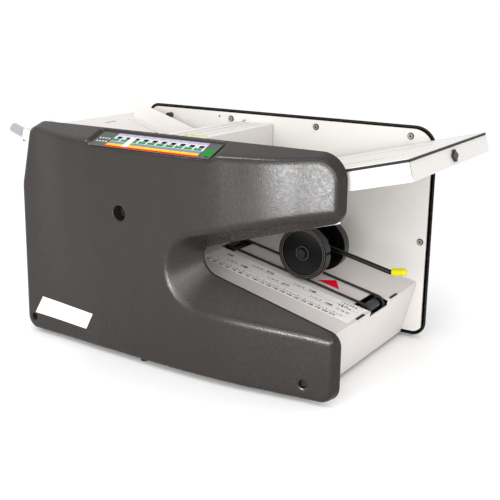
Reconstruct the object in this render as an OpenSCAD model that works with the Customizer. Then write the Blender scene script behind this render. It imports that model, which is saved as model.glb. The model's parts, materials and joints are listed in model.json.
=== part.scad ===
// Desktop paper folding machine: sheets go from the sloping feed table under a
// feed roller, through four fold rollers and two fold plates, and out onto a
// belt conveyor under a pair of stacker wheels.
// Working frame: X runs from the feed end to the delivery end, Y across the
// machine with the operator's side negative, and Z up from the side frames'
// lower edge. place() moves a node to the part's own frame.

/* [Body] */
// Length of the side covers
body_l = 468; // [460:1:480]
// Height of the side covers above the frames' lower edge
body_h = 280.5; // [279:0.5:283]
// Clear width between the two side frames
inner_w = 250; // [246:1:260]
// How far a side cover stands out at its crown
cover_depth = 33; // [33:1:36]
// Wall of the side covers
cover_wall = 3; // [2.5:0.5:3.5]
// Height of the rubber feet under the frames
foot_h = 5; // [4:1:10]

/* [Feed table] */
// Slope of the feed table
feed_slope = 17; // [16:0.5:18]
// Width of the feed table
feed_w = 230; // [220:1:236]
// Distance of the operator-side guide from the middle
near_guide_y = 105; // [90:1:108]
// Distance of the far guide from the middle
far_guide_y = 90; // [80:1:100]

/* [Fold plate 1] */
// Slope of the upper fold plate
plate_1_slope = 14.3; // [14:0.1:15]
// Width of the upper fold plate
plate_1_w = 236; // [230:1:240]
// Depth of its side walls
plate_1_wall_h = 24; // [22:1:26]

/* [Delivery] */
// Slope of the delivery deck
deck_slope = 12.3; // [12:0.1:13]
// Radius of the stacker wheels
wheel_r = 33.4; // [32:0.1:33.5]
// Width of a stacker wheel
wheel_w = 12; // [10:1:13]

/* [Hidden] */
$fn = 64;

// Sheet metal and fits
frame_t = 2;
sheet_t = 1.5;
run_gap = 0.05;
free_gap = 0.3;
half_l = body_l / 2;
half_w = inner_w / 2;
frame_out = half_w + frame_t;
frame_edge = 7;
cover_low = -1.5;

// Feed table: its upper left edge
feed_x = -250;
feed_z = 265;
feed_len = 226;
skew_z = -10.65;
skew_r = 6.5;
skew_out = 28;

// Fold plate 1: the top corner of its end wall
plate_1_x = 297;
plate_1_z = 281;
plate_1_len = 304;
channel_mid = -5;
star_z = -13.5;
star_r = 7;
star_out = 3.5;
screw_r = 2.5;

// Delivery deck: the top of its end edge
deck_x = 217.8;
deck_z = 72.8;
deck_len = 232;
deck_foot_x = 199;
belt_r = 1.6;
belt_lift = 1.7;
belt_y = [-8.5, 31];
drum_r = 7.7;
drum_low = belt_lift - belt_r - free_gap - drum_r;
drum_x = [-213, -13.5];

// Fold rollers: equal rollers in mesh through equal gears
gear_m = 1.2;
gear_n = 20;
pitch = gear_m * gear_n;
roller_r = pitch / 2 - 0.2;
shaft_r = 5;
plate_2_slope = 35;
nip_x = -18;
nip_z = plate_1_z + channel_mid / cos(plate_1_slope)
    - (plate_1_x - nip_x) * tan(plate_1_slope);
function step(p, a) = [p[0] + pitch * cos(a), p[1] + pitch * sin(a)];
roller_1 = [nip_x - pitch / 2 * sin(plate_1_slope), nip_z + pitch / 2 * cos(plate_1_slope)];
roller_2 = step(roller_1, plate_1_slope - 90);
roller_3 = step(roller_2, plate_2_slope - 90);
roller_4 = step(roller_3, -90 - deck_slope);
feed_r = 17.7;
feed_c = [-58, 225.2];
nip_2 = (roller_2 + roller_3) / 2;
function on_deck(x, z) = [deck_x + x * cos(deck_slope) + z * sin(deck_slope),
                          deck_z - x * sin(deck_slope) + z * cos(deck_slope)];
drive_drum = on_deck(drum_x[0], drum_low);

// Belt drives, outside the far frame
motor_c = [110, 41];
motor_shaft_r = 4;
main_y = 129;
aux_y = 138;
belt_w = 6;
belt_t = 1.8;

// Stacker
pivot = [34, 159.8];
pivot_r = 4;
rod_y = 11;
rod_r = 3;
rod_len = 198;
axle_at = [93.4, -8.8];
wheel_y = [-20, 30];

// Hood
hood_hinge = [-56.3, 260.7];
hood_end_x = -9;
hood_top = 264.7;

// Part frame: the middle of the whole footprint, on the table top
x_low = feed_x - skew_out * cos(feed_slope) + (skew_z - skew_r) * sin(feed_slope);
x_high = plate_1_x + star_out * cos(plate_1_slope) + (star_r - star_z) * sin(plate_1_slope);
module place() translate([-(x_low + x_high) / 2, 0, foot_h]) children();

// ---- helpers -------------------------------------------------------------

// An X-Z outline made into a plate from y0 to y0 + t
module plate_xz(y0, t) translate([0, y0 + t, 0]) rotate([90, 0, 0]) linear_extrude(t) children();

// A round bar along Y
module bar(c, y0, y1, r) translate([c[0], y0, c[1]]) rotate([-90, 0, 0]) cylinder(h = y1 - y0, r = r);

// A hollow round bar along Y
module tube(c, y0, y1, r_out, r_in) difference() {
    bar(c, y0, y1, r_out);
    bar(c, y0 - 1, y1 + 1, r_in);
}

// A box from its two corners
module box(a, b) translate(a) cube(b - a);

// What rounding takes off the corner at v, between the edges towards p and q
function unit(v) = v / norm(v);
module soften(p, v, q, r) {
    u = unit(p - v);
    w = unit(q - v);
    half = acos(u * w) / 2;
    c = v + unit(u + w) * r / sin(half);
    difference() {
        polygon([v - (c - v) * 0.1, v + u * r / tan(half), c, v + w * r / tan(half)]);
        translate(c) circle(r);
    }
}

// A polygon with its own radius at each corner
module rounded(points, radii) difference() {
    n = len(points);
    polygon(points);
    for (i = [0:n - 1])
        soften(points[(i + n - 1) % n], points[i], points[(i + 1) % n], radii[i]);
}

// The three sloping local frames: local X runs along the slope
module on_feed() translate([feed_x, 0, feed_z]) rotate([0, feed_slope, 0]) children();
module on_plate_1() translate([plate_1_x, 0, plate_1_z]) rotate([0, -plate_1_slope, 0]) children();
module on_plate_2() translate([nip_2[0], 0, nip_2[1]]) rotate([0, 180 - plate_2_slope, 0]) children();
module to_deck() translate([deck_x, 0, deck_z]) rotate([0, deck_slope, 0]) children();
module to_rod() translate([pivot[0], 0, pivot[1]]) rotate([0, deck_slope, 0]) children();

// ---- side notch ----------------------------------------------------------

// Each notch is a wedge opening towards the delivery end: circles given as
// [x, z, radius], the last two out beyond the cover's end
notch_edge = [[61, 146.7, 14], [73, 140.3, 26], [262, 209.4, 10], [262, 77.6, 10]];
notch_ridge = [[66, 150, 27], [60, 126, 49], [262, 220.5, 10], [262, 82, 10]];
// Where the notch runs out of the cover's end, its two corners are rounded
mouth_up = 16.8;
mouth_low = 13.8;
mouth_up_z = 211.5;
mouth_low_z = 79.3;
module mouth_corners(x) {
    up = mouth_up_z + (x - half_l) * tan(mouth_up);
    low = mouth_low_z - (x - half_l) * tan(mouth_low);
    soften([x - 50, up - 50 * tan(mouth_up)], [x, up], [x, up + 40], 13);
    soften([x - 50, low + 50 * tan(mouth_low)], [x, low], [x, low - 40], 17);
}
module notch(circles, grow) hull() for (c = circles) translate([c[0], c[1]]) circle(c[2] + grow, $fn = 48);

// ---- side frames ---------------------------------------------------------

shafts = [roller_1, roller_2, roller_3, roller_4];
tie_at = [[-205, 60], [-130, 192], [160, 30], [46, 176]];
screw_at = [[-80.4, 266.8], [59, 266.4], [197.3, 266]];
far_screw_at = [218.9, 128.4];
cover_screw_at = [[194.5, 18], [-219, 16]];
bush_r = 7.5;

// The outline of covers and frames, smaller by g all round: the upper part of
// the feed end leans in, much on the near side and little on the far side
lean_z = 200;
near_lean = atan(20 / (body_h - lean_z));
far_lean = atan(3 / (body_h - lean_z));
module body_outline(g, radii, lean) {
    x = half_l - g;
    z = body_h - g;
    side = lean_z - g * tan(lean / 2);
    rounded([[-x, cover_low + g], [x, cover_low + g], [x, z],
             [-x + (z - side) * tan(lean), z], [-x, side]], radii);
}
frame_in = 5;
module frame_outline(lean) intersection() {
    body_outline(frame_in, [13, 15, 28, 14, 60], lean);
    translate([frame_edge - half_l, 2]) square([body_l - 2 * frame_edge, body_h]);
}

module frame_holes() {
    for (c = shafts) translate(c) circle(bush_r);
    translate(feed_c) circle(bush_r);
    translate(hood_hinge) circle(screw_r);
    translate(pivot) circle(pivot_r);
    for (c = concat(tie_at, cover_screw_at)) translate(c) circle(3);
    for (c = screw_at) translate(c) circle(2);
}

module near_frame() place() color("whitesmoke") {
    plate_xz(-frame_out, frame_t) difference() {
        frame_outline(near_lean);
        frame_holes();
        difference() {
            translate([0, -1]) notch(notch_edge, 0);
            translate([40, 0]) polygon([[0, 260], [0, 151], [200, 209.1], [200, 260]]);
        }
        mouth_corners(half_l - frame_edge);
    }
    // inward flange along the notch's upper edge
    translate([70, -half_w, 159.72]) rotate([0, -16.2, 0]) cube([150, 9, sheet_t]);
}

module far_frame() place() color("whitesmoke") plate_xz(half_w, frame_t) difference() {
    frame_outline(far_lean);
    frame_holes();
    translate(drive_drum) circle(bush_r);
    translate(motor_c) circle(10);
    translate(far_screw_at) circle(2);
    translate([-100.6, 268.9]) circle(1.6);
    translate([-188.3, 264.5]) circle(3);
}

// ---- side covers ---------------------------------------------------------

// The crowned face: its depth falls from the middle towards either end
crown_x = 20;
end_depth = [22, 10];
end_lean = [2, 6];
crown_power = [1.5, 2.3];
top_slope = 22;
bulge = 500;
function end_inset(s, d) = d <= end_depth[s] ? pow(d / end_depth[s], 2) * end_lean[s]
    : end_lean[s] + (half_l + (s == 0 ? crown_x : -crown_x) - end_lean[s])
        * (1 - pow((cover_depth - d) / (cover_depth - end_depth[s]), 1 / crown_power[s]));
depths = [0, 5, 10, 15, 22, 25, 28, 31, cover_depth];
cover_corners = [18, 20, 32, 20, 60];

// Inward normals of the outline's five edges, and their distances from the origin
function edges(lean) = [[0, 1], [-1, 0], [0, -1], [cos(lean), -sin(lean)], [1, 0]];
function edge_at(lean) = [cover_low, -half_l, -body_h,
                          -half_l * cos(lean) - lean_z * sin(lean), -half_l];
function meet(n, a, m, b) = let (d = n[0] * m[1] - n[1] * m[0])
    [(a * m[1] - b * n[1]) / d, (b * n[0] - a * m[0]) / d];

module slice(d, wall, lean) {
    n = edges(lean);
    at = edge_at(lean);
    left = end_inset(0, d);
    inset = [d * d / bulge, end_inset(1, d), d * tan(top_slope) + d * d / bulge, left, left];
    for (i = [0:4]) {
        j = (i + 1) % 5;
        r = max(cover_corners[i] - wall - d / 3, 4);
        c = meet(n[i], at[i] + inset[i] + wall + r, n[j], at[j] + inset[j] + wall + r);
        translate([c[0], c[1], 0]) cylinder(h = 0.1, r = r, $fn = 32);
    }
}

// Solid shell shape, drawn with its depth along +Z
module crown(wall, lean) hull() for (d = depths)
    translate([0, 0, d == 0 ? -1 : d - wall]) slice(d, wall, lean);

module notch_cut(grow) hull() {
    for (c = notch_edge) translate([c[0], c[1], -2]) cylinder(h = 1, r = c[2] + grow, $fn = 32);
    for (c = notch_ridge) translate([c[0], c[1], cover_depth]) cylinder(h = 1, r = c[2] + grow, $fn = 32);
}

// The shell with its depth along +Z: hollow behind the wall, with posts for
// the screws and for the recessed hole, and room for the frame's plate
recess_at = [-56, 182];
seat = frame_t + 0.1;
module shell(with_notch, lean) difference() {
    crown(0, lean);
    difference() {
        crown(cover_wall, lean);
        if (with_notch) notch_cut(cover_wall);
        for (c = cover_screw_at) translate([c[0], c[1], seat]) cylinder(h = cover_depth, r = 6.5);
        if (with_notch) translate([recess_at[0], recess_at[1], cover_depth - 16])
            cylinder(h = 16, r = 11);
    }
    if (with_notch) {
        notch_cut(0);
        translate([0, 0, -1]) linear_extrude(cover_depth + 2) mouth_corners(half_l);
        translate([recess_at[0], recess_at[1], cover_depth - 12]) cylinder(h = 14, r = 7.5);
    }
    translate([0, 0, -1]) linear_extrude(seat + 1) intersection() {
        body_outline(frame_in - 0.4, [13.4, 15.4, 28.4, 14.4, 60.4], lean);
        translate([frame_edge - 0.4 - half_l, 1.6]) square([body_l + 0.8 - 2 * frame_edge, body_h]);
    }
    translate([-half_l - 1, -10, -3]) cube([body_l + 2, body_h + 20, 3]);
    for (c = cover_screw_at) translate([c[0], c[1], 0]) {
        translate([0, 0, 8]) cylinder(h = cover_depth, r = 4.2);
        translate([0, 0, -1]) cylinder(h = 10, r = 2.2);
    }
}

// The setting chart lies in a shallow recess in the cover's sloping top
chart_slope = 22;
chart_top = 277;
chart_x = [-96, 79];
chart_t = 0.6;
chart_y = [-35, -2.8];
module on_chart() translate([0, -half_w, chart_top]) rotate([chart_slope, 0, 0]) children();

module near_cover() place() color("dimgray") difference() {
    translate([0, -half_w, 0]) rotate([90, 0, 0]) shell(true, near_lean);
    on_chart() box([chart_x[0] - 3, chart_y[0] - 12, -chart_t], [chart_x[1] + 3, chart_y[1] + 0.2, 14]);
}
module far_cover() place() color("dimgray") translate([0, half_w, 0]) mirror([0, 1, 0])
    rotate([90, 0, 0]) shell(false, far_lean);

// ---- chassis -------------------------------------------------------------

foot_at = [[-190, -108], [170, -108], [-190, 108], [170, 108]];
module base_plate() place() color("gainsboro") difference() {
    box([-222, -half_w + 0.5, 1.5], [196, half_w - 0.5, 1.5 + sheet_t]);
    for (x = [-150:30:150]) translate([x, 0, 0]) for (y = [-60, -40, 40, 60])
        translate([-9, y - 2, 0]) cube([18, 4, 6]);
}

module feet() place() color("black") {
    for (p = foot_at) translate([p[0], p[1], -foot_h]) cylinder(h = foot_h + 1.5, r1 = 8, r2 = 9);
    for (s = [-1, 1]) translate([-32, s * (half_w + 14), -foot_h])
        cylinder(h = foot_h + cover_low, r = 5);
}

module tie_rods() place() color("silver") for (c = tie_at) {
    bar(c, -half_w, half_w, 5);
    for (s = [-1, 1]) bar(c, s > 0 ? half_w : -frame_out - 3, s > 0 ? frame_out + 3 : -half_w, 2.9);
    bar(c, -frame_out - 3, -frame_out, 5);
    bar(c, frame_out, frame_out + 3, 5);
}

// Button-head screws, heads on the frames' inner faces
module frame_screws() place() color("gray") {
    for (c = concat(screw_at, [far_screw_at])) {
        bar(c, half_w - 1.8, half_w, 3.4);
        bar(c, half_w - 1, frame_out, 1.9);
    }
    for (c = screw_at) {
        bar(c, -half_w, 1.8 - half_w, 3.4);
        bar(c, -frame_out, 1 - half_w, 1.9);
    }
}

module cover_screws() place() color("black") for (c = cover_screw_at) {
    bar(c, -half_w - 8, -half_w, 2.1);
    bar(c, -half_w - 11, -half_w - 8, 3.8);
    bar(c, half_w, half_w + 8, 2.1);
    bar(c, half_w + 8, half_w + 11, 3.8);
}

// ---- power ---------------------------------------------------------------

panel_x = -224;
inlet_at = [70, 42];
switch_at = [28, 42];
rocker_x = 3;
rocker_pin_r = 1.3;

module end_panel() place() color("whitesmoke") difference() {
    box([panel_x, -half_w + 0.5, 3], [panel_x + sheet_t, half_w - 0.5, 118]);
    translate([panel_x - 1, inlet_at[0] - 14, inlet_at[1] - 10]) cube([4, 28, 20]);
    translate([panel_x - 1, switch_at[0] - 12, switch_at[1] - 7.5]) cube([4, 24, 15]);
    for (y = [-90:12:-18]) translate([panel_x - 1, y, 25]) cube([4, 4, 34]);
}

module power_inlet() place() color("black") {
    y = inlet_at[0];
    z = inlet_at[1];
    difference() {
        union() {
            box([panel_x - 3, y - 25, z - 14], [panel_x, y + 25, z + 14]);
            box([panel_x - 3, y - 14, z - 10], [panel_x + 17, y + 14, z + 10]);
        }
        box([panel_x - 4, y - 12, z - 8], [panel_x + 14, y + 12, z + 8]);
    }
    for (p = [[-7, -2], [0, 2], [7, -2]])
        box([panel_x + 3, y + p[0] - 1, z + p[1] - 2], [panel_x + 14, y + p[0] + 1, z + p[1] + 2]);
}

module switch_housing() place() color("black") {
    y = switch_at[0];
    z = switch_at[1];
    difference() {
        union() {
            box([panel_x - 2, y - 15, z - 10.5], [panel_x, y + 15, z + 10.5]);
            box([panel_x - 2, y - 12, z - 7.5], [panel_x + 16, y + 12, z + 7.5]);
        }
        box([panel_x - 3, y - 10.5, z - 6], [panel_x + 12, y + 10.5, z + 6]);
        translate([panel_x + rocker_x, y, z - 7]) cylinder(h = 14, r = rocker_pin_r + run_gap);
    }
}

// The rocker tips about a Z axis on two pins: its faces meet in a shallow V
module power_rocker() place() color("black") translate([panel_x, switch_at[0], switch_at[1]]) {
    translate([0, 0, -5.6]) linear_extrude(11.2)
        polygon([[7, -6], [7, 6], [0, 8.2], [-2.1, 8.2], [-0.9, 0], [-4.2, -8.2], [0, -8.2]]);
    translate([rocker_x, 0, -6.8]) cylinder(h = 13.6, r = rocker_pin_r);
}

// ---- motor and belt drives -----------------------------------------------

motor_r = 32.5;
module motor() place() color("slategray") difference() {
    union() {
        bar(motor_c, 18, 116, motor_r);
        bar(motor_c, 12, 18, motor_r - 8);
        bar(motor_c, 116, 120, 14);
    }
    bar(motor_c, 100, 121, motor_shaft_r + run_gap);
    for (a = [0:30:330]) translate([motor_c[0], 0, motor_c[1]]) rotate([0, a, 0])
        translate([motor_r - 2, 30, -2]) cube([4, 72, 4]);
}

module motor_mount() place() color("silver") {
    x = motor_c[0];
    z = motor_c[1];
    difference() {
        box([x - 40, 120, 3], [x + 40, 123, z + 27]);
        bar(motor_c, 119, 124, 12);
    }
    box([x - 40, 60, 3], [x + 40, 120, 6]);
    for (dx = [-30, 30]) bar([x + dx, z + 20], 123, half_w, 5);
}

// A toothless pulley face between two flanges, for a belt of width belt_w
module pulley(c, y, r, bore) difference() {
    union() {
        bar(c, y, y + belt_w + 3, r);
        bar(c, y, y + 1, r + 2.5);
        bar(c, y + belt_w + 2, y + belt_w + 3, r + 2.5);
    }
    bar(c, y - 1, y + belt_w + 4, bore);
}

module motor_pulley() place() color("lightgray") {
    pulley(motor_c, main_y - 0.5, 7, motor_shaft_r - 1);
    bar(motor_c, 102, main_y + belt_w + 4, motor_shaft_r);
}

module loop(a, ra, b, rb) hull() {
    translate(a) circle(ra);
    translate(b) circle(rb);
}

module belt(a, ra, b, rb, y) plate_xz(y, belt_w) difference() {
    loop(a, ra + free_gap + belt_t, b, rb + free_gap + belt_t);
    loop(a, ra + free_gap, b, rb + free_gap);
}

main_pulley_r = 14;
feed_pulley_r = 12;
small_pulley_r = 8;
module drive_belts() place() color("black") {
    belt(motor_c, 7, roller_2, main_pulley_r, main_y + 1);
    belt(roller_1, small_pulley_r, feed_c, feed_pulley_r, aux_y + 1.5);
    belt(roller_4, small_pulley_r, drive_drum, small_pulley_r, aux_y + 1.5);
}

// Flanged bushes for the shafts, and the spacers that hold the two tables
spacer_1 = [-240, -95];
spacer_f = [30, 150];
module bush(c, s, r) tube(c, s > 0 ? half_w : -frame_out - 0.5, s > 0 ? frame_out + 0.5 : -half_w, bush_r, r);
module bush_flange(c, s, r) tube(c, s > 0 ? half_w - 1.5 : -half_w, s > 0 ? half_w : 1.5 - half_w, 9, r);
module bushes() place() color("peru") {
    for (c = concat(shafts, [feed_c]), s = [-1, 1]) {
        bush(c, s, shaft_r + run_gap);
        bush_flange(c, s, shaft_r + run_gap);
    }
    bush(drive_drum, 1, 4 + run_gap);
    for (s = [-1, 1]) {
        on_plate_1() for (x = spacer_1) mirror([0, s < 0 ? 1 : 0, 0])
            bar([x, -17], plate_1_w / 2, half_w, 5);
        on_feed() for (x = spacer_f) mirror([0, s < 0 ? 1 : 0, 0])
            bar([x, -8], feed_w / 2, half_w, 5);
        on_plate_2() for (x = [50, 180]) mirror([0, s < 0 ? 1 : 0, 0])
            bar([x, 7], plate_1_w / 2, half_w, 4);
    }
}

// ---- fold rollers --------------------------------------------------------

face_y = 118;
module roller(c, far_end) place() color("darkgray") {
    bar(c, -face_y, face_y, roller_r);
    bar(c, -141, far_end, shaft_r);
}
module fold_roller_1() roller(roller_1, 148);
module fold_roller_2() roller(roller_2, 138);
module fold_roller_3() roller(roller_3, 127.5);
module fold_roller_4() roller(roller_4, 148);

// Involute spur gear outline, with a tooth centred on angle a
function inv(a) = tan(a) * 180 / PI - a;
function roll(rb, r) = r > rb ? inv(acos(rb / r)) : 0;
module gear_2d(a) {
    rp = pitch / 2;
    rb = rp * cos(20);
    root = rp - 1.25 * gear_m;
    tip = rp + gear_m;
    half = 90 / gear_n - 0.45 + inv(20);
    radii = [root, rb, rb + (tip - rb) * 0.3, rb + (tip - rb) * 0.65, tip];
    polygon([for (i = [0:gear_n - 1], k = [0:9])
        let (r = radii[k < 5 ? k : 9 - k],
             w = (half - roll(rb, r)) * (k < 5 ? -1 : 1),
             t = a + i * 360 / gear_n + w) [r * cos(t), r * sin(t)]]);
}
// The angle that puts a gear in mesh with one whose tooth is at angle a
function bearing(p, q) = atan2(q[1] - p[1], q[0] - p[0]);
function mesh(p, q, a) = 2 * bearing(p, q) + 180 - a - 180 / gear_n;
tooth_1 = 0;
tooth_2 = mesh(roller_1, roller_2, tooth_1);
tooth_3 = mesh(roller_2, roller_3, tooth_2);
tooth_4 = mesh(roller_3, roller_4, tooth_3);

module gear(c, a) plate_xz(-139, 8) difference() {
    translate(c) gear_2d(a);
    translate(c) circle(shaft_r);
}
module fold_drive_1() place() color("tan") {
    gear(roller_1, tooth_1);
    pulley(roller_1, aux_y, small_pulley_r, shaft_r);
}
module fold_drive_2() place() color("tan") {
    gear(roller_2, tooth_2);
    pulley(roller_2, main_y - 0.5, main_pulley_r, shaft_r);
}
module fold_drive_3() place() color("tan") gear(roller_3, tooth_3);
module fold_drive_4() place() color("tan") {
    gear(roller_4, tooth_4);
    pulley(roller_4, aux_y, small_pulley_r, shaft_r);
}

// ---- feed ----------------------------------------------------------------

ring_at = [-62, 0, 62];
ring_w = 26;
module feed_shaft() place() color("silver") {
    bar(feed_c, -half_w - 5, 148, shaft_r);
    pulley(feed_c, aux_y, feed_pulley_r, shaft_r - 0.5);
    for (y = ring_at) bar(feed_c, y - ring_w / 2 - 2, y + ring_w / 2 + 2, shaft_r + 3);
}
module feed_roller() place() color("dimgray") for (y = ring_at)
    tube(feed_c, y - ring_w / 2, y + ring_w / 2, feed_r, shaft_r + 3);

pad_x = [187, 204];
guide_slot_x = 76;
module feed_table() place() color("gainsboro") on_feed() difference() {
    union() {
        box([0, -feed_w / 2, -sheet_t], [feed_len, feed_w / 2, 0]);
        box([0, -feed_w / 2, -18], [sheet_t, feed_w / 2, 0]);
        for (s = [-1, 1]) translate([0, s * (feed_w - sheet_t) / 2 - sheet_t / 2, -14])
            cube([190, sheet_t, 14]);
    }
    box([pad_x[0] - 1, -21, -3], [pad_x[1] + 1, 21, 1]);
    for (s = [-1, 1]) hull() for (y = [40, 110]) translate([guide_slot_x, s * y, -3]) cylinder(h = 4, r = 3);
    translate([-1, -near_guide_y, skew_z]) rotate([0, 90, 0]) cylinder(h = 4, r = screw_r + run_gap);
}
module retard_pad() place() color("saddlebrown") on_feed() {
    box([pad_x[0], -20, -12], [pad_x[1], 20, -0.3]);
    box([pad_x[0] - 8, -26, -14], [pad_x[1] + 8, 26, -12]);
    for (s = [-1, 1]) box([pad_x[0] - 8, s > 0 ? 24 : -26, -12], [pad_x[1] + 8, s > 0 ? 26 : -24, -sheet_t]);
}
module table_stop_pin() place() color("black") {
    bar([-188.3, 264.5], half_w - 9, half_w, 3.8);
    bar([-188.3, 264.5], half_w - 1, frame_out, 2.9);
}

// A side guide: upright wall, base lip and the thumbscrew under the table
guide_x = [17, 132];
guide_h = 26;
module guide(s, y) on_feed() {
    box([guide_x[0], s > 0 ? y : -y - sheet_t, free_gap], [guide_x[1], s > 0 ? y + sheet_t : -y, guide_h]);
    box([guide_x[0], s > 0 ? y - 12 : -y, free_gap], [guide_x[1], s > 0 ? y : -y + 12, free_gap + sheet_t]);
    translate([guide_slot_x, s * (y - 6), -14]) {
        cylinder(h = 15, r = 2.5);
        cylinder(h = 9, r = 8, $fn = 12);
    }
}
module near_guide() place() color("whitesmoke") guide(-1, near_guide_y);
module far_guide() place() color("whitesmoke") guide(1, far_guide_y);

module skew_knob() place() color("silver") on_feed() translate([0, -near_guide_y, skew_z]) rotate([0, -90, 0]) {
    translate([0, 0, 4]) linear_extrude(skew_out - 4)
        polygon([for (i = [0:47]) let (r = skew_r - (i % 2) * 0.6) [r * cos(i * 7.5), r * sin(i * 7.5)]]);
    translate([0, 0, -12]) cylinder(h = 17, r = screw_r);
}

// ---- hood ----------------------------------------------------------------

module hood_bar() place() color("whitesmoke") {
    box([-72, -half_w, 262.7], [-62.5, half_w, 264.2]);
    box([-72, -half_w, 242], [-70.5, half_w, 264.2]);
}
module hood_hinge_rod() place() color("silver") {
    bar(hood_hinge, -half_w, half_w, screw_r - run_gap);
    for (s = [-1, 1]) bar(hood_hinge, s > 0 ? half_w : -frame_out, s > 0 ? frame_out : -half_w, screw_r);
}
hood_y = half_w - 1.5;
module hood() place() color("white") difference() {
    union() {
        box([hood_hinge[0], -hood_y, hood_top - sheet_t], [hood_end_x, hood_y, hood_top]);
        box([hood_end_x - sheet_t, -hood_y, 234], [hood_end_x, hood_y, hood_top]);
        for (s = [-1, 1]) box([hood_hinge[0] + 2, s > 0 ? hood_y - sheet_t : -hood_y, 240],
                              [hood_end_x, s > 0 ? hood_y : sheet_t - hood_y, hood_top]);
        bar(hood_hinge, -hood_y, hood_y, 4);
    }
    bar(hood_hinge, -half_w, half_w, screw_r);
}

// ---- fold plate 1 --------------------------------------------------------

p1 = plate_1_w / 2;
wall_x = -290;
stop_1_x = -205;
module plate_1_tray() place() color("white") on_plate_1() difference() {
    union() {
        box([-plate_1_len, -p1, -10], [-sheet_t, p1, -8.5]);
        for (s = [-1, 1]) box([wall_x, s > 0 ? p1 - sheet_t : -p1, -plate_1_wall_h],
                              [0, s > 0 ? p1 : sheet_t - p1, -2.7]);
        box([-sheet_t, -p1, -plate_1_wall_h], [0, p1, -2.7]);
        box([-258, -14, -20], [-252, 14, -10]);
    }
    for (s = [-1, 1]) box([-225, s * 40 - 3, -11], [-40, s * 40 + 3, -8]);
    translate([1, 0, star_z]) rotate([0, -90, 0]) cylinder(h = 262, r = screw_r + run_gap);
}
module plate_1_lid() place() color("white") on_plate_1() box([-plate_1_len, -p1, -sheet_t], [0, p1, 0]);
module plate_1_seal() place() color("black") on_plate_1() difference() {
    box([wall_x, 0.6 - p1, -2.7], [-0.6, p1 - 0.6, -sheet_t]);
    box([wall_x - 1, 4 - p1, -3], [-4, p1 - 4, 0]);
}
module plate_1_stop() place() color("silver") on_plate_1() difference() {
    union() {
        box([stop_1_x, -48, -19], [stop_1_x + 8, 48, -10.3]);
        for (s = [-1, 1]) box([stop_1_x, s * 40 - 2, -19], [stop_1_x + 8, s * 40 + 2, -1.9]);
    }
    translate([stop_1_x - 1, 0, star_z]) rotate([0, 90, 0]) cylinder(h = 10, r = screw_r + run_gap);
}
module plate_1_knob() place() color("black") on_plate_1() translate([0, 0, star_z]) {
    rotate([0, -90, 0]) translate([0, 0, -1]) cylinder(h = 261, r = screw_r);
    rotate([0, 90, 0]) translate([0, 0, 0.5]) linear_extrude(star_out - 0.5) {
        circle(5);
        for (a = [0:90:270]) rotate(a) translate([4.4, 0]) circle(2.6);
    }
}

// ---- fold plate 2 --------------------------------------------------------

stop_2_x = 120;
module plate_2_tray() place() color("white") on_plate_2() difference() {
    union() {
        box([19, -p1, 3], [205, p1, 3 + sheet_t]);
        for (s = [-1, 1]) box([30, s > 0 ? p1 - sheet_t : -p1, -2.9], [205, s > 0 ? p1 : sheet_t - p1, 12]);
        box([205 - sheet_t, -p1, -2.9], [205, p1, 12]);
    }
    box([44, -3, 2], [196, 3, 6]);
}
module plate_2_lid() place() color("white") on_plate_2() box([19, -p1, -2.9 - sheet_t], [205, p1, -2.9]);
module plate_2_stop() place() color("silver") on_plate_2() {
    box([stop_2_x, -60, -2.6], [stop_2_x + 5, 60, 2.7]);
    translate([stop_2_x + 2.5, 0, 0]) cylinder(h = 14, r = 2);
    translate([stop_2_x + 2.5, 0, 5]) cylinder(h = 9, r = 8, $fn = 12);
}

// ---- delivery ------------------------------------------------------------

deck_y = half_w - 1;
slot_y = [-16, 37];
module deck() place() color("gainsboro") difference() {
    union() {
        to_deck() box([-deck_len, -deck_y, -sheet_t], [0, deck_y, 0]);
        for (s = [-1, 1]) to_deck() box([-deck_len, s > 0 ? deck_y - sheet_t : -deck_y, -12],
                                        [-4, s > 0 ? deck_y : sheet_t - deck_y, 0]);
        plate_xz(-deck_y, 2 * deck_y) polygon([[deck_x, deck_z], [deck_foot_x, 0],
            [deck_foot_x - sheet_t, 0], [deck_x - sheet_t - 0.4, deck_z - sheet_t]]);
    }
    to_deck() {
        box([drum_x[0] - 13, slot_y[0], -3], [drum_x[0] + 10, slot_y[1], 1]);
        box([drum_x[1] - 11, slot_y[0], -8], [4, slot_y[1], 1]);
        for (y = [-51.5, 43]) box([-1, y, -4], [3, y + 20, 1]);
    }
    bar(drive_drum, deck_y - 3, deck_y + 1, 5);
}

strip_y = [-69, -17];
module ruler_strip() place() color("white") to_deck() box([-218, strip_y[0], 0], [-5, strip_y[1], 0.3]);
module delivery_pointer() place() color("crimson") to_deck() linear_extrude(0.3)
    polygon([[-88, 6], [-72, 28], [-56, 6]]);

bracket_y = [-24, 42];
module conveyor_bracket() place() color("dimgray") {
    difference() {
        to_deck() for (y = bracket_y)
            box([-224, y, -17], [drum_x[1] + 9, y + sheet_t, -sheet_t]);
        bar(drive_drum, -30, 50, 4 + run_gap);
    }
    to_deck() translate([drum_x[1], bracket_y[0], drum_low]) rotate([-90, 0, 0])
        cylinder(h = bracket_y[1] - bracket_y[0], r = 3);
}

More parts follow.
